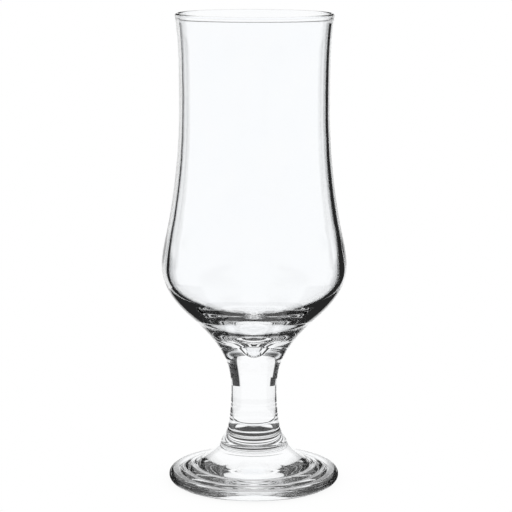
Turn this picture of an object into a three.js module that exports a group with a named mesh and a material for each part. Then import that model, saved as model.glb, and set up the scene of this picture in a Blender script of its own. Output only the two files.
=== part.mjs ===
// Stemmed beer glass: a waisted bowl with a beaded rim, a short solid stem and a ringed foot.
// Millimetres, +Z up. The origin is on the glass's own axis, on the surface that it stands on.

import * as THREE from "three";

// Overall sizes
const HEIGHT = 196;
const FOOT_RADIUS = 35.8;
const RIM_RADIUS = 32.6;
const TURN_STEPS = 48; // steps round the axis, a multiple of four

// Heights of the two planes where the hot pieces are welded together
const STEM_WELD_Z = 22;
const BOWL_WELD_Z = 53;

// A station of a smooth outline: radius, height, lean outwards from vertical in degrees,
// and how far the curve holds that lean below and above the point.
const station = (r, z, lean, below, above) => ({ r, z, lean, below, above });

// Outer outline, from the foot's weld up to the rim
const STEM_END = station(11.1, STEM_WELD_Z, -12, 0, 5.1);
const STEM_NECK = station(9.55, 38.3, 0, 6.2, 13.6);
const BOWL_CONE = station(24.2, 68.5, 44.4, 13.1, 3.6);
const BELLY = station(38.5, 91.7, 0, 11.9, 5.7);
const SHOULDER = station(36.2, 106.5, -12.1, 2.4, 13.2);
const WAIST = station(30.95, 156.8, 0, 17.2, 12.2);
const LIP = station(32.25, 193.4, 8.2, 10.8, 0);

// Beaded rim: a round bead that stands a little proud of the wall outside.
// Its arc runs from the outer wall over the top to the inner wall, in degrees.
const BEAD_RADIUS = 0.92;
const BEAD_CENTRE_R = RIM_RADIUS - BEAD_RADIUS;
const BEAD_CENTRE_Z = HEIGHT - BEAD_RADIUS;
const BEAD_START = -30;
const BEAD_END = 210;

// The hollow: the wall grows from 1.5 mm at the lip to 2.9 mm at the belly and 4.6 mm in the cone
const WALL_AT_LIP = 1.5;
const WALL_AT_WAIST = 1.7;
const WALL_AT_SHOULDER = 2.3;
const WALL_AT_BELLY = 2.9;
const HOLLOW_CONE = station(20.8, 71.6, 43, 8, 6);
const HOLLOW_FLOOR = station(6.2, 62.5, 68, 2.2, 6);

// The small round dimple at the bottom of the hollow
const DIMPLE_EDGE = station(4.3, 61, 35, 1.2, 0.8);
const DIMPLE_BOTTOM = station(0, 55.8, 90, 0, 2.4);

// Foot: a weld collar with a rounded lower edge, a cove, a domed shoulder, then two rounded rings
// inside a thick rounded rim
const COLLAR_TOP = station(STEM_END.r, STEM_WELD_Z, -14, 2.6, 0);
const COLLAR_EDGE = station(14, 15.9, 0, 0, 1.3);
const COVE_TOP = station(COLLAR_EDGE.r, COLLAR_EDGE.z, -34, 3.4, 0);
const DOME_SHOULDER = station(21.3, 8.9, -53, 0, 4.4);
const DOME_ROUND = 0.35;
const CREASES = [[23.6, 6.1], [27.5, 4.6], [31, 3.7]];
const RING_RISE = 0.8;
const RIM_RISE = 0.25;
const EDGE_RADIUS = 2.2;
const EDGE_CENTRE_R = FOOT_RADIUS - EDGE_RADIUS;
const EDGE_START = 105;
const EDGE_END = -90;

// Underside: a flat ring that bears on the table, round a shallow hollow
const BEARING_RING = station(30.4, 0, -79, 0, 10);
const UNDERSIDE_TOP = station(0, 4.3, -90, 8, 0);

const radians = (degrees) => (degrees * Math.PI) / 180;

// Unit vector along the outline at a station, pointing up
function direction(s) {
  return new THREE.Vector2(Math.sin(radians(s.lean)), Math.cos(radians(s.lean)));
}

// Points of the cubic curve between two stations, without the first one
function span(low, high, count) {
  const start = new THREE.Vector2(low.r, low.z);
  const end = new THREE.Vector2(high.r, high.z);
  const curve = new THREE.CubicBezierCurve(
    start,
    start.clone().addScaledVector(direction(low), low.above),
    end.clone().addScaledVector(direction(high), -high.below),
    end,
  );
  return curve.getPoints(count).slice(1);
}

// Points of a circular arc about (r, z) between two angles in degrees, both ends included
function arc(r, z, radius, from, to, count) {
  const points = [];
  for (let i = 0; i <= count; i++) {
    const angle = radians(from + ((to - from) * i) / count);
    points.push(new THREE.Vector2(r + radius * Math.cos(angle), z + radius * Math.sin(angle)));
  }
  return points;
}

// Points of an arc that joins two points and rises a given height over its chord,
// without the first one. The rise is to the left of the way from a to b.
function crown(a, b, rise, count) {
  const half = a.distanceTo(b) / 2;
  const radius = (half * half + rise * rise) / (2 * rise);
  const along = b.clone().sub(a).normalize();
  const across = new THREE.Vector2(-along.y, along.x);
  const centre = a.clone().add(b).multiplyScalar(0.5).addScaledVector(across, rise - radius);
  const spread = Math.asin(half / radius);
  const points = [];
  for (let i = 1; i <= count; i++) {
    const angle = spread * ((2 * i) / count - 1);
    points.push(
      centre.clone()
        .addScaledVector(along, radius * Math.sin(angle))
        .addScaledVector(across, radius * Math.cos(angle)),
    );
  }
  return points;
}

// The station on the hollow's face that lies one wall thickness inside an outer one
function inside(outer, wall) {
  const face = direction(outer);
  return { ...outer, r: outer.r - wall * face.y, z: outer.z + wall * face.x };
}

// The curve from the stem's neck to the cone, split at a height: [points below, points above].
// The split point ends the first list and starts the second.
function flareSplitAt(z) {
  const flare = [new THREE.Vector2(STEM_NECK.r, STEM_NECK.z), ...span(STEM_NECK, BOWL_CONE, 14)];
  const next = flare.findIndex((p) => p.y > z);
  const a = flare[next - 1];
  const b = flare[next];
  const cut = a.clone().lerp(b, (z - a.y) / (b.y - a.y));
  return [[...flare.slice(1, next), cut], [cut, ...flare.slice(next)]];
}

function bowlOutline() {
  const [, aboveWeld] = flareSplitAt(BOWL_WELD_Z);
  const lip = inside(LIP, WALL_AT_LIP);
  const waist = inside(WAIST, WALL_AT_WAIST);
  const shoulder = inside(SHOULDER, WALL_AT_SHOULDER);
  const belly = inside(BELLY, WALL_AT_BELLY);
  const hollowUp = [
    new THREE.Vector2(0, DIMPLE_BOTTOM.z),
    ...span(DIMPLE_BOTTOM, DIMPLE_EDGE, 5),
    ...span(DIMPLE_EDGE, HOLLOW_FLOOR, 2),
    ...span(HOLLOW_FLOOR, HOLLOW_CONE, 4),
    ...span(HOLLOW_CONE, belly, 6),
    ...span(belly, shoulder, 4),
    ...span(shoulder, waist, 5),
    ...span(waist, lip, 4),
  ];
  return [
    new THREE.Vector2(0, BOWL_WELD_Z),
    ...aboveWeld,
    ...span(BOWL_CONE, BELLY, 8),
    ...span(BELLY, SHOULDER, 5),
    ...span(SHOULDER, WAIST, 6),
    ...span(WAIST, LIP, 5),
    ...arc(BEAD_CENTRE_R, BEAD_CENTRE_Z, BEAD_RADIUS, BEAD_START, BEAD_END, 8),
    ...hollowUp.reverse(),
  ];
}

function stemOutline() {
  const [belowWeld] = flareSplitAt(BOWL_WELD_Z);
  return [
    new THREE.Vector2(0, STEM_WELD_Z),
    new THREE.Vector2(STEM_END.r, STEM_WELD_Z),
    ...span(STEM_END, STEM_NECK, 6),
    ...belowWeld,
    new THREE.Vector2(0, BOWL_WELD_Z),
  ];
}

function footOutline() {
  const [first, second, third] = CREASES.map(([r, z]) => new THREE.Vector2(r, z));
  const shoulder = new THREE.Vector2(DOME_SHOULDER.r, DOME_SHOULDER.z);
  const collarEdge = new THREE.Vector2(COLLAR_EDGE.r, COLLAR_EDGE.z);
  const edge = arc(EDGE_CENTRE_R, EDGE_RADIUS, EDGE_RADIUS, EDGE_START, EDGE_END, 13);
  const collar = [collarEdge, ...span(COLLAR_EDGE, COLLAR_TOP, 6)];
  const cove = [shoulder, ...span(DOME_SHOULDER, COVE_TOP, 6).slice(0, -1)];
  const downwards = [
    new THREE.Vector2(0, STEM_WELD_Z),
    ...collar.reverse(),
    ...cove.reverse(),
    ...crown(shoulder, first, DOME_ROUND, 3),
    ...crown(first, second, RING_RISE, 5),
    ...crown(second, third, RING_RISE, 5),
    ...crown(third, edge[0], RIM_RISE, 2),
    ...edge.slice(1),
    new THREE.Vector2(BEARING_RING.r, 0),
    ...span(BEARING_RING, UNDERSIDE_TOP, 6),
  ];
  return downwards.reverse();
}

// Clear glass with a faint cool tint
function clearGlass() {
  return new THREE.MeshStandardMaterial({
    color: 0xf3f7fa,
    roughness: 0.02,
    metalness: 0,
    transparent: true,
    opacity: 0.35,
  });
}

// Turns an outline that starts and ends on the axis into a closed solid that stands along +Z
function turned(name, outline) {
  const geometry = new THREE.LatheGeometry(outline, TURN_STEPS);
  geometry.rotateX(Math.PI / 2);
  const mesh = new THREE.Mesh(geometry, clearGlass());
  mesh.name = name;
  return mesh;
}

const glass = new THREE.Group();
glass.add(turned("bowl", bowlOutline()));
glass.add(turned("stem", stemOutline()));
glass.add(turned("foot", footOutline()));

export default glass;
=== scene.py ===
import math

import bpy
import numpy as np
from mathutils import Matrix, Vector


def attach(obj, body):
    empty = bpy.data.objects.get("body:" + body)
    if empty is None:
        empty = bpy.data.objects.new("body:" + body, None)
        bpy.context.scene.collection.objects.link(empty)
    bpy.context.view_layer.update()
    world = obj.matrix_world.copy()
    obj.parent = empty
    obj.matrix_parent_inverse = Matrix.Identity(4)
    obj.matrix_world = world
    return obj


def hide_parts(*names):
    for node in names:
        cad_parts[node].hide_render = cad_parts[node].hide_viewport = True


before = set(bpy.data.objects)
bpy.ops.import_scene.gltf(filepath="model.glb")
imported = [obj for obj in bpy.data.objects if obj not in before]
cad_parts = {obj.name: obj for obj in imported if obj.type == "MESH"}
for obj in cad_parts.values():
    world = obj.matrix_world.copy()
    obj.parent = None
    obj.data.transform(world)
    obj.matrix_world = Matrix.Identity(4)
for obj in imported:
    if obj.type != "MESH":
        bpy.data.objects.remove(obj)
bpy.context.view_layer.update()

MM = 0.001
TINY = 1e-9

# Sizes of the glass in millimetres, as in the part's own source
HEIGHT = 196
FOOT_RADIUS = 35.8
RIM_RADIUS = 32.6
STEM_WELD_Z = 22
BOWL_WELD_Z = 53


def station(r, z, lean, below, above):
    """A point of a smooth outline: radius, height, lean outwards in degrees, and reach each way."""
    return dict(r=r, z=z, lean=lean, below=below, above=above)


STEM_END = station(11.1, STEM_WELD_Z, -12, 0, 5.1)
STEM_NECK = station(9.55, 38.3, 0, 6.2, 13.6)
BOWL_CONE = station(24.2, 68.5, 44.4, 13.1, 3.6)
BELLY = station(38.5, 91.7, 0, 11.9, 5.7)
SHOULDER = station(36.2, 106.5, -12.1, 2.4, 13.2)
WAIST = station(30.95, 156.8, 0, 17.2, 12.2)
LIP = station(32.25, 193.4, 8.2, 10.8, 0)

BEAD_RADIUS = 0.92
BEAD_CENTRE_R = RIM_RADIUS - BEAD_RADIUS
BEAD_CENTRE_Z = HEIGHT - BEAD_RADIUS
BEAD_START = -30
BEAD_END = 210

WALL_AT_LIP = 1.5
WALL_AT_WAIST = 1.7
WALL_AT_SHOULDER = 2.3
WALL_AT_BELLY = 2.9
HOLLOW_CONE = station(20.8, 71.6, 43, 8, 6)
HOLLOW_FLOOR = station(6.2, 62.5, 68, 2.2, 6)
DIMPLE_EDGE = station(4.3, 61, 35, 1.2, 0.8)
DIMPLE_BOTTOM = station(0, 55.8, 90, 0, 2.4)

COLLAR_TOP = station(STEM_END["r"], STEM_WELD_Z, -14, 2.6, 0)
COLLAR_EDGE = station(14, 15.9, 0, 0, 1.3)
COVE_TOP = station(COLLAR_EDGE["r"], COLLAR_EDGE["z"], -34, 3.4, 0)
DOME_SHOULDER = station(21.3, 8.9, -53, 0, 4.4)
DOME_ROUND = 0.35
CREASES = ((23.6, 6.1), (27.5, 4.6), (31, 3.7))
RING_RISE = 0.8
RIM_RISE = 0.25
EDGE_RADIUS = 2.2
EDGE_CENTRE_R = FOOT_RADIUS - EDGE_RADIUS
EDGE_START = 105
EDGE_END = -90

BEARING_RING = station(30.4, 0, -79, 0, 10)
UNDERSIDE_TOP = station(0, 4.3, -90, 8, 0)

# How finely each curve is drawn at first, in points
SPAN_POINTS = 400
ARC_POINTS = 200
CROWN_POINTS = 100

# The even step of the whole outline, and how far fire-polishing rounds its creases
FINE_STEP = 0.1
POLISH = 0.25
POLISH_REACH = 4

# The mesh: steps round the axis, and the most degrees and millimetres between two of its rows
TURN_STEPS = 160
MOST_TURN = 3.0
MOST_STEP = 3.0


def direction(s):
    lean = math.radians(s["lean"])
    return np.array([math.sin(lean), math.cos(lean)])


def span(low, high):
    """The cubic curve between two stations."""
    a = np.array([low["r"], low["z"]])
    d = np.array([high["r"], high["z"]])
    b = a + direction(low) * low["above"]
    c = d - direction(high) * high["below"]
    t = np.linspace(0, 1, SPAN_POINTS)[:, None]
    return (1 - t) ** 3 * a + 3 * t * (1 - t) ** 2 * b + 3 * t * t * (1 - t) * c + t**3 * d


def arc(r, z, radius, start, end):
    angle = np.radians(np.linspace(start, end, ARC_POINTS))
    return np.stack([r + radius * np.cos(angle), z + radius * np.sin(angle)], 1)


def crown(a, b, rise):
    """An arc from a to b that rises to the left of the way over its chord."""
    a, b = np.array(a, float), np.array(b, float)
    half = np.linalg.norm(b - a) / 2
    radius = (half * half + rise * rise) / (2 * rise)
    along = (b - a) / (2 * half)
    across = np.array([-along[1], along[0]])
    centre = (a + b) / 2 + across * (rise - radius)
    angle = np.linspace(-1, 1, CROWN_POINTS)[:, None] * math.asin(half / radius)
    return centre + radius * (along * np.sin(angle) + across * np.cos(angle))


def inside(outer, wall):
    """The station on the hollow's face that lies one wall thickness inside an outer one."""
    face = direction(outer)
    return dict(outer, r=outer["r"] - wall * face[1], z=outer["z"] + wall * face[0])


def whole_outline():
    """The outline of the whole glass, from the middle of the underside round to the dimple."""
    edge = arc(EDGE_CENTRE_R, EDGE_RADIUS, EDGE_RADIUS, EDGE_START, EDGE_END)
    foot_down = [
        span(COLLAR_EDGE, COLLAR_TOP)[::-1],
        span(DOME_SHOULDER, COVE_TOP)[::-1],
        crown((DOME_SHOULDER["r"], DOME_SHOULDER["z"]), CREASES[0], DOME_ROUND),
        crown(CREASES[0], CREASES[1], RING_RISE),
        crown(CREASES[1], CREASES[2], RING_RISE),
        crown(CREASES[2], edge[0], RIM_RISE),
        edge,
        span(BEARING_RING, UNDERSIDE_TOP),
    ]
    lip = inside(LIP, WALL_AT_LIP)
    waist = inside(WAIST, WALL_AT_WAIST)
    shoulder = inside(SHOULDER, WALL_AT_SHOULDER)
    belly = inside(BELLY, WALL_AT_BELLY)
    hollow_up = [
        span(DIMPLE_BOTTOM, DIMPLE_EDGE),
        span(DIMPLE_EDGE, HOLLOW_FLOOR),
        span(HOLLOW_FLOOR, HOLLOW_CONE),
        span(HOLLOW_CONE, belly),
        span(belly, shoulder),
        span(shoulder, waist),
        span(waist, lip),
    ]
    return np.vstack([
        np.vstack(foot_down)[::-1],
        span(STEM_END, STEM_NECK),
        span(STEM_NECK, BOWL_CONE),
        span(BOWL_CONE, BELLY),
        span(BELLY, SHOULDER),
        span(SHOULDER, WAIST),
        span(WAIST, LIP),
        arc(BEAD_CENTRE_R, BEAD_CENTRE_Z, BEAD_RADIUS, BEAD_START, BEAD_END),
        np.vstack(hollow_up)[::-1],
    ])


def evenly(points, step):
    """The same line with its points a step apart."""
    gaps = np.linalg.norm(np.diff(points, axis=0), axis=1)
    points = points[np.concatenate([[True], gaps > TINY])]
    along = np.concatenate([[0], np.cumsum(np.linalg.norm(np.diff(points, axis=0), axis=1))])
    at = np.linspace(0, along[-1], int(along[-1] / step) + 1)
    return np.stack([np.interp(at, along, points[:, k]) for k in (0, 1)], 1)


def polished(points):
    """Rounds the creases as the flame does. Both ends lie on the axis, where the line is level."""
    reach = int(POLISH_REACH * POLISH / FINE_STEP)
    weight = np.exp(-0.5 * (np.arange(-reach, reach + 1) * FINE_STEP / POLISH) ** 2)
    weight /= weight.sum()
    head = points[1 : reach + 1][::-1] * [-1, 1]
    tail = points[-reach - 1 : -1][::-1] * [-1, 1]
    padded = np.vstack([head, points, tail])
    out = np.stack([np.convolve(padded[:, k], weight, "valid") for k in (0, 1)], 1)
    out[[0, -1], 0] = 0
    return out


def with_normals(points):
    """Adds the outline's outward normal at each point."""
    step = np.gradient(points, axis=0)
    step[[0, -1], 1] = 0
    step /= np.linalg.norm(step, axis=1)[:, None]
    return np.column_stack([points, step[:, 1], -step[:, 0]])


def thinned(rows):
    """Leaves out points where the line is nearly straight."""
    angle = np.degrees(np.unwrap(np.arctan2(rows[:, 3], rows[:, 2])))
    kept = [0]
    for i in range(1, len(rows) - 1):
        turn = abs(angle[i] - angle[kept[-1]])
        gap = np.linalg.norm(rows[i, :2] - rows[kept[-1], :2])
        if turn >= MOST_TURN or gap >= MOST_STEP:
            kept.append(i)
    return rows[kept + [len(rows) - 1]]


def split_rows(rows):
    """Cuts the outline at the two welds into the rows of foot, stem and bowl."""
    def cut(z, after):
        i = next(k for k in range(after, len(rows)) if rows[k, 1] >= z > rows[k - 1, 1])
        share = (z - rows[i - 1, 1]) / (rows[i, 1] - rows[i - 1, 1])
        row = rows[i - 1] * (1 - share) + rows[i] * share
        row[2:] /= np.linalg.norm(row[2:])
        return i, row

    low, low_row = cut(STEM_WELD_Z, 1)
    high, high_row = cut(BOWL_WELD_Z, low)
    foot = np.vstack([rows[:low], low_row])
    stem = np.vstack([low_row, rows[low:high], high_row])
    bowl = np.vstack([high_row, rows[high:]])
    return thinned(foot), thinned(stem), thinned(bowl)


def turned(name, rows, weld_low, weld_high, glass, weld):
    """A closed piece turned about the axis from rows of radius, height and normal.
    Weld faces are flat discs, with their own material because the glass runs on through them."""
    angles = np.linspace(0, 2 * math.pi, TURN_STEPS, endpoint=False)
    cos, sin = np.cos(angles), np.sin(angles)
    verts, rings = [], []
    for r, z, _, _ in rows:
        if r < TINY:
            rings.append([len(verts)])
            verts.append((0, 0, z * MM))
        else:
            rings.append(list(range(len(verts), len(verts) + TURN_STEPS)))
            verts.extend(zip(r * MM * cos, r * MM * sin, [z * MM] * TURN_STEPS))
    faces, slots, normals = [], [], []
    normal = [np.column_stack([n * cos, n * sin, np.full(TURN_STEPS, m)]) for _, _, n, m in rows]
    for i in range(len(rows) - 1):
        a, b = rings[i], rings[i + 1]
        for k in range(TURN_STEPS):
            n = (k + 1) % TURN_STEPS
            if len(a) == 1:
                faces.append((a[0], b[n], b[k]))
                normals += [normal[i][k], normal[i + 1][n], normal[i + 1][k]]
            elif len(b) == 1:
                faces.append((a[k], a[n], b[0]))
                normals += [normal[i][k], normal[i][n], normal[i + 1][k]]
            else:
                faces.append((a[k], a[n], b[n], b[k]))
                normals += [normal[i][k], normal[i][n], normal[i + 1][n], normal[i + 1][k]]
            slots.append(0)
    ends = []
    if weld_low:
        ends.append((rings[0], rows[0][1], -1))
    if weld_high:
        ends.append((rings[-1], rows[-1][1], 1))
    for ring, z, up in ends:
        middle = len(verts)
        verts.append((0, 0, z * MM))
        for k in range(TURN_STEPS):
            n = (k + 1) % TURN_STEPS
            faces.append((middle, ring[n], ring[k]) if up < 0 else (middle, ring[k], ring[n]))
            normals += [(0, 0, up)] * 3
            slots.append(1)
    mesh = bpy.data.meshes.new(name)
    mesh.from_pydata(verts, [], faces)
    mesh.materials.append(glass)
    mesh.materials.append(weld)
    mesh.polygons.foreach_set("material_index", slots)
    mesh.polygons.foreach_set("use_smooth", [True] * len(faces))
    mesh.normals_split_custom_set([tuple(n) for n in normals])
    mesh.update()
    piece = bpy.data.objects.new(name, mesh)
    bpy.context.scene.collection.objects.link(piece)
    return piece


# The skin of pressed glass is faintly wavy, and its cool tint is not quite even. In metres.
WAVES_PER_METRE = 70
WAVE_DETAIL = 1
WAVE_HEIGHT = 0.00004
DEEPER_TINT = (0.97, 0.982, 0.995, 1)
PALER_TINT = (0.985, 0.99, 0.995, 1)
GLASS_IOR = 1.52


def clear_glass():
    material = bpy.data.materials.new("clear_glass")
    material.use_nodes = True
    nodes = material.node_tree.nodes
    shader = nodes["Principled BSDF"]
    links = material.node_tree.links
    coords = nodes.new("ShaderNodeTexCoord")
    waves = nodes.new("ShaderNodeTexNoise")
    waves.inputs["Scale"].default_value = WAVES_PER_METRE
    waves.inputs["Detail"].default_value = WAVE_DETAIL
    links.new(coords.outputs["Object"], waves.inputs["Vector"])
    tint = nodes.new("ShaderNodeMix")
    tint.data_type = "RGBA"
    tint.inputs[6].default_value = DEEPER_TINT
    tint.inputs[7].default_value = PALER_TINT
    links.new(waves.outputs["Fac"], tint.inputs[0])
    links.new(tint.outputs[2], shader.inputs["Base Color"])
    bump = nodes.new("ShaderNodeBump")
    bump.inputs["Distance"].default_value = WAVE_HEIGHT
    links.new(waves.outputs["Fac"], bump.inputs["Height"])
    links.new(bump.outputs[0], shader.inputs["Normal"])
    shader.inputs["Roughness"].default_value = 0
    shader.inputs["IOR"].default_value = GLASS_IOR
    shader.inputs["Transmission Weight"].default_value = 1
    return material


def weld_face():
    material = bpy.data.materials.new("weld_face")
    material.use_nodes = True
    nodes = material.node_tree.nodes
    nodes.clear()
    out = nodes.new("ShaderNodeOutputMaterial")
    clear = nodes.new("ShaderNodeBsdfTransparent")
    material.node_tree.links.new(clear.outputs[0], out.inputs[0])
    return material


def add_glass():
    rows = with_normals(polished(evenly(whole_outline(), FINE_STEP)))
    foot, stem, bowl = split_rows(rows)
    glass = clear_glass()
    weld = weld_face()
    for node, part_rows, low, high in (
        ("foot", foot, False, True), ("stem", stem, True, True), ("bowl", bowl, True, False),
    ):
        piece = turned("glass_" + node, part_rows, low, high, glass, weld)
        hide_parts(node)
        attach(piece, "root")


# Camera: the photograph's, about four heights away and a little above the rim
CAMERA_DISTANCE = 3.99 * HEIGHT * MM
CAMERA_HEIGHT = 1.208 * HEIGHT * MM
AIM_HEIGHT = 0.4876 * HEIGHT * MM
FOCAL_PIXELS = 1910
FRAME_PIXELS = 512
AXIS_LEFT_OF_MIDDLE_PIXELS = 1.8
ROLL_DEGREES = 0.12
SENSOR_MM = 36
CLIP_END = 20


def add_camera():
    data = bpy.data.cameras.new("camera")
    data.sensor_width = SENSOR_MM
    data.sensor_fit = "HORIZONTAL"
    data.lens = data.sensor_width * FOCAL_PIXELS / FRAME_PIXELS
    data.clip_end = CLIP_END
    camera = bpy.data.objects.new("camera", data)
    bpy.context.scene.collection.objects.link(camera)
    eye = Vector((0, -CAMERA_DISTANCE, CAMERA_HEIGHT))
    away = math.hypot(CAMERA_DISTANCE, CAMERA_HEIGHT - AIM_HEIGHT)
    aim = Vector((AXIS_LEFT_OF_MIDDLE_PIXELS / FOCAL_PIXELS * away, 0, AIM_HEIGHT))
    turn = (aim - eye).to_track_quat("-Z", "Y").to_matrix().to_4x4()
    roll = Matrix.Rotation(math.radians(ROLL_DEGREES), 4, "Z")
    camera.matrix_world = Matrix.Translation(eye) @ turn @ roll
    bpy.context.scene.camera = camera


# The studio is black and white, but for two greys of the table. Which parts are white depends on the
# light's way through the glass: how often the glass mirrored it, and whether it came through both
# walls of the bowl. That stands in for what long ways in thick glass absorb, and for the small panels
# of a real studio.
#
# Angles are in degrees. A turn goes round the glass from straight behind it, positive to the right in
# the photograph, and a rise goes up from level. An edge is an angle and the half width over which it
# softens. A span is two angles and that half width.
BLACK = 0.02
HORIZON = (-2, 0.5)

# Above the horizon. RIM_LINE and BOWL_LINES are the dark parts that draw those lines in the glass.
HIGH = (22, 5)
OVERHEAD = (52, 5)
RIM_LINE = (37, 48, 2)
RIM_LINE_THROUGH_BOWL = (4, 17, 1.5)
BACK_PANEL = (-40, 28, 2)
SIDE_PANEL = (76, 114, 3)
FRONT_FROM = 135
FRONT_FROM_MIRRORED_TWICE = 105
FRONT_EDGE = (0, 6)
BOWL_LINES_ABOVE = (38, 8)
BOWL_LINES_BEYOND = (60, 25)
BOWL_LINES_OVERHEAD = (60, 110, 25)

# Below the horizon, a white back panel between two dark uprights. Their feet stand below FEET_TOP.
LOW_BACK_PANEL = (-34, 22, 2)
LOW_FRONT_EDGE = (-5, 6)
UPRIGHTS = ((28, 60, 2), (-60, -34, 2))
UPRIGHTS_THROUGH_BOWL = ((23, 42, 1), (-46, -31, 1))
UPRIGHTS_MIRRORED_ONCE = ((22, 46, 1.5), (-41, -32, 1.5))
FEET_MIRRORED_ONCE = ((20, 60, 1.5), (-60, -32, 1.5))
FEET_TOP = (-10, 1)

# What the outside of the glass mirrors
OUTSIDE_UPRIGHTS = ((24, 60, 2), (-60, -34, 2))
OUTSIDE_UPRIGHTS_TOP = (5, 1)
OUTSIDE_WHITE_ABOVE = (20, 4)
OUTSIDE_WHITE_BEYOND = (75, 20)

# Faces of glass that light crosses through one wall, and through both walls of the bowl
ONE_WALL = 2
BOTH_WALLS = 4


class Tree:
    """Short ways to add the nodes that the studio is made of."""

    def __init__(self, tree):
        self.nodes, self.links = tree.nodes, tree.links
        self.nodes.clear()

    def put(self, socket, value):
        if isinstance(value, (int, float, tuple)):
            socket.default_value = value
        else:
            self.links.new(value, socket)

    def maths(self, operation, *values):
        node = self.nodes.new("ShaderNodeMath")
        node.operation = operation
        for socket, value in zip(node.inputs, values):
            self.put(socket, value)
        return node.outputs[0]

    def opposite(self, share):
        return self.maths("SUBTRACT", 1, share)

    def above(self, value, edge, soft):
        """1 above an edge, 0 below it."""
        node = self.nodes.new("ShaderNodeMapRange")
        node.interpolation_type = "SMOOTHSTEP"
        node.inputs["From Min"].default_value = edge - soft
        node.inputs["From Max"].default_value = edge + soft
        self.put(node.inputs["Value"], value)
        return node.outputs["Result"]

    def between(self, value, low, high, soft):
        return self.maths("SUBTRACT", self.above(value, low, soft), self.above(value, high, soft))

    def within(self, value, spans):
        """1 within either of two spans."""
        return self.maths("MAXIMUM", *[self.between(value, *span) for span in spans])

    def blend(self, share, a, b):
        """a where the share is 0, b where it is 1."""
        node = self.nodes.new("ShaderNodeMix")
        for socket, value in zip((node.inputs[0], node.inputs[2], node.inputs[3]), (share, a, b)):
            self.put(socket, value)
        return node.outputs[0]

    def shader(self, kind, colour):
        node = self.nodes.new(kind)
        self.put(node.inputs["Color"], colour)
        return node.outputs[0]

    def mix(self, factor, a, b):
        node = self.nodes.new("ShaderNodeMixShader")
        for socket, value in zip(node.inputs, (factor, a, b)):
            self.put(socket, value)
        return node.outputs[0]

    def parts_of(self, kind):
        coords = self.nodes.new("ShaderNodeTexCoord")
        split = self.nodes.new("ShaderNodeSeparateXYZ")
        self.links.new(coords.outputs[kind], split.inputs[0])
        return split.outputs

    def degrees(self, operation, *values):
        return self.maths("MULTIPLY", self.maths(operation, *values), 180 / math.pi)

    def light_path(self, name):
        return self.nodes.new("ShaderNodeLightPath").outputs[name]

    def crossed(self, faces):
        """1 for light that has crossed at least so many faces of glass."""
        return self.maths("GREATER_THAN", self.light_path("Transmission Depth"), faces - 0.5)

    def by_count(self, *levels):
        """The level for light that the glass mirrored 0, 1, 2 to 3, or more times."""
        count = self.light_path("Glossy Depth")
        level = levels[0]
        for edge, following in zip((0.5, 1.5, 3.5), levels[1:]):
            level = self.blend(self.maths("GREATER_THAN", count, edge), level, following)
        return level

    def in_front(self, off, edge):
        start = self.by_count(FRONT_FROM, FRONT_FROM, FRONT_FROM_MIRRORED_TWICE, FRONT_FROM)
        return self.above(self.maths("SUBTRACT", off, start), *edge)


def upper_level(tree, turn, off, rise):
    """How bright the studio above the horizon is for light from the glass."""
    maths, above, blend, by_count = tree.maths, tree.above, tree.blend, tree.by_count
    line = tree.between(rise, *RIM_LINE)
    line_through_bowl = tree.between(rise, *RIM_LINE_THROUGH_BOWL)
    straight = tree.opposite(blend(tree.crossed(BOTH_WALLS), line, line_through_bowl))
    just_through = maths("COMPARE", tree.light_path("Transmission Depth"), BOTH_WALLS, 0.5)

    beside_bowl = maths("MULTIPLY", above(rise, *BOWL_LINES_ABOVE), above(off, *BOWL_LINES_BEYOND))
    mirrored_once = tree.opposite(maths("MULTIPLY", just_through, beside_bowl))
    side_panel = maths("MULTIPLY", tree.between(off, *SIDE_PANEL), straight)
    side = by_count(side_panel, mirrored_once, BLACK, BLACK)
    front = by_count(straight, 1, 1, BLACK)
    high = above(rise, *HIGH)
    behind = by_count(straight, 1, high, high)
    level = blend(tree.in_front(off, FRONT_EDGE), side, front)
    level = blend(tree.between(turn, *BACK_PANEL), level, behind)

    over_bowl = maths("MULTIPLY", just_through, tree.between(off, *BOWL_LINES_OVERHEAD))
    over = by_count(1, tree.opposite(over_bowl), 1, 1)
    return blend(above(rise, *OVERHEAD), level, over)


def low_level(tree, turn, off, uprights_mirrored_once, straight_side, straight_upright):
    """How bright the studio below the horizon is for light from the glass."""
    blend, by_count = tree.blend, tree.by_count
    uprights = tree.within(turn, UPRIGHTS)
    uprights = by_count(uprights, uprights_mirrored_once, uprights, uprights)
    uprights = blend(tree.crossed(BOTH_WALLS), uprights, tree.within(turn, UPRIGHTS_THROUGH_BOWL))
    side = blend(tree.in_front(off, LOW_FRONT_EDGE), by_count(straight_side, 1, BLACK, BLACK), 1)
    behind = by_count(1, 1, BLACK, BLACK)
    level = blend(tree.between(turn, *LOW_BACK_PANEL), side, behind)
    level = blend(tree.crossed(BOTH_WALLS), level, 1)
    dark = by_count(straight_upright, BLACK, BLACK, BLACK)
    dark = blend(tree.crossed(BOTH_WALLS), dark, BLACK)
    return blend(uprights, level, dark)


def outside_level(tree, turn, off, rise):
    """How bright the studio is for light that the outside of the glass mirrored."""
    low = tree.opposite(tree.within(turn, OUTSIDE_UPRIGHTS))
    level = tree.blend(tree.above(rise, *OUTSIDE_UPRIGHTS_TOP), low, tree.above(rise, *OUTSIDE_WHITE_ABOVE))
    level = tree.maths("MAXIMUM", level, tree.crossed(ONE_WALL))
    return tree.blend(tree.above(off, *OUTSIDE_WHITE_BEYOND), level, 1)


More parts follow.
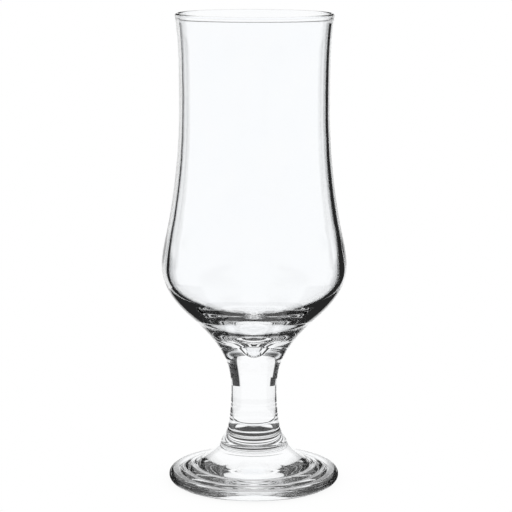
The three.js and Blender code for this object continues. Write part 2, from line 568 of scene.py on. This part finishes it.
def add_world():
    world = bpy.data.worlds.new("studio")
    bpy.context.scene.world = world
    world.use_nodes = True
    tree = Tree(world.node_tree)
    x, y, z = tree.parts_of("Generated")
    turn = tree.degrees("ARCTAN2", x, y)
    off = tree.maths("ABSOLUTE", turn)
    rise = tree.degrees("ARCSINE", z)

    feet = tree.within(turn, FEET_MIRRORED_ONCE)
    uprights = tree.within(turn, UPRIGHTS_MIRRORED_ONCE)
    uprights = tree.blend(tree.above(rise, *FEET_TOP), feet, uprights)
    low = low_level(tree, turn, off, uprights, 1, BLACK)
    seen = tree.blend(tree.above(rise, *HORIZON), low, upper_level(tree, turn, off, rise))
    outside = outside_level(tree, turn, off, rise)
    seen = tree.blend(tree.light_path("Is Reflection Ray"), seen, outside)
    seen = tree.shader("ShaderNodeBackground", tree.maths("MAXIMUM", seen, BLACK))
    white = tree.shader("ShaderNodeBackground", (1, 1, 1, 1))
    out = tree.nodes.new("ShaderNodeOutputWorld")
    tree.put(out.inputs[0], tree.mix(tree.light_path("Is Camera Ray"), seen, white))


# The table, in metres
TABLE_RADIUS = 0.22
TABLE_CORNERS = 128
TABLE_DROP = 0.0002
SHADOW_REACH = 0.012
SHADOW_SAMPLES = 8
OPEN_SHADOW_DEPTH = 0.08
RING_SOFTNESS = 0.0005

# Rings of the table that are seen only through the glass: painted shadow and light of the glass foot.
# Each has its outer radius, its levels by how often the glass mirrored the light, for the part behind
# the axis, and the same for the rest. FADING is painted shade, from 1 at the sides to SHADED in front.
SHADED = 0.5
FADING = None
PAINTED_SHADOW_RINGS = (
    (0.012, (0.6, 0, 1, 1), (0.6, 1, 1, 0)),
    (0.024, (0.6, 0, 1, 1), (0.6, 0, 0, 1)),
    (0.036, (1, 1, 1, 0), (FADING, 1, 0, 0)),
    (0.0405, (1, 0, 0, 0), (0.6, 0, 0, 0)),
    (0.046, (0, 0, 0, 0), (0.6, 0, 0, 0)),
    (0.06, (1, 0, 0, 0), (0.6, 0, 0, 0)),
)
# Turns where the rings' beside levels begin and FADING's painted shade falls, and the span of painted shade
# on the table's sides
BESIDE_FROM = (50, 5)
FADING_FROM = (75, 20)
PAINTED_SHADE_SIDES = (50, 76, 4)

# The table mirrored on the outside of the glass: white behind and in front of it, painted shade beside it
OUTSIDE_TABLE_BEHIND = (30, 3)
OUTSIDE_TABLE_IN_FRONT = (115, 5)


def table_level(tree, radius, turn, off):
    """How bright the table is for light from the glass: painted shadow, light and shade."""
    above, blend, by_count = tree.above, tree.blend, tree.by_count
    # Painted shade: the table is dark at its sides
    side = blend(tree.between(off, *PAINTED_SHADE_SIDES), 1, BLACK)
    level = low_level(tree, turn, off, tree.within(turn, UPRIGHTS), side, 1)
    level = blend(tree.crossed(BOTH_WALLS), level, 1)
    fading = blend(above(off, *FADING_FROM), 1, SHADED)
    is_beside = above(off, *BESIDE_FROM)
    # Paints the glass foot's shadow and light onto the table, ring by ring.
    for reach, behind, beside in PAINTED_SHADOW_RINGS[::-1]:
        beside = [fading if number is FADING else number for number in beside]
        ring = blend(is_beside, by_count(*behind), by_count(*beside))
        level = blend(above(radius, reach, RING_SOFTNESS), ring, level)
    # Painted shade beside the glass on the table that the glass mirrors
    outside = blend(above(off, *OUTSIDE_TABLE_BEHIND), 1, above(off, *OUTSIDE_TABLE_IN_FRONT))
    level = blend(tree.light_path("Is Reflection Ray"), level, outside)
    return tree.maths("MAXIMUM", level, BLACK)


def add_floor():
    bpy.ops.mesh.primitive_circle_add(
        vertices=TABLE_CORNERS, radius=TABLE_RADIUS, fill_type="NGON", location=(0, 0, -TABLE_DROP),
    )
    floor = bpy.context.object
    floor.name = "table"
    material = bpy.data.materials.new("table")
    material.use_nodes = True
    tree = Tree(material.node_tree)
    maths = tree.maths
    x, y, _ = tree.parts_of("Object")
    radius = maths("SQRT", maths("ADD", maths("MULTIPLY", x, x), maths("MULTIPLY", y, y)))
    turn = tree.degrees("ARCTAN2", x, y)
    seen = table_level(tree, radius, turn, maths("ABSOLUTE", turn))
    occlusion = tree.nodes.new("ShaderNodeAmbientOcclusion")
    occlusion.samples = SHADOW_SAMPLES
    occlusion.inputs["Distance"].default_value = SHADOW_REACH
    shade = tree.opposite(occlusion.outputs["AO"])
    open_view = tree.opposite(maths("MULTIPLY", shade, OPEN_SHADOW_DEPTH))
    seen = tree.shader("ShaderNodeEmission", seen)
    open_view = tree.shader("ShaderNodeEmission", open_view)
    out = tree.nodes.new("ShaderNodeOutputMaterial")
    tree.put(out.inputs[0], tree.mix(tree.light_path("Is Camera Ray"), seen, open_view))
    floor.data.materials.append(material)


# Light takes long ways inside the thick glass
BOUNCES = 32

scene = bpy.context.scene
scene.view_settings.view_transform = "Standard"
scene.cycles.max_bounces = BOUNCES
scene.cycles.transmission_bounces = BOUNCES
scene.cycles.glossy_bounces = BOUNCES
scene.cycles.transparent_max_bounces = BOUNCES

add_glass()
add_camera()
add_world()
add_floor()
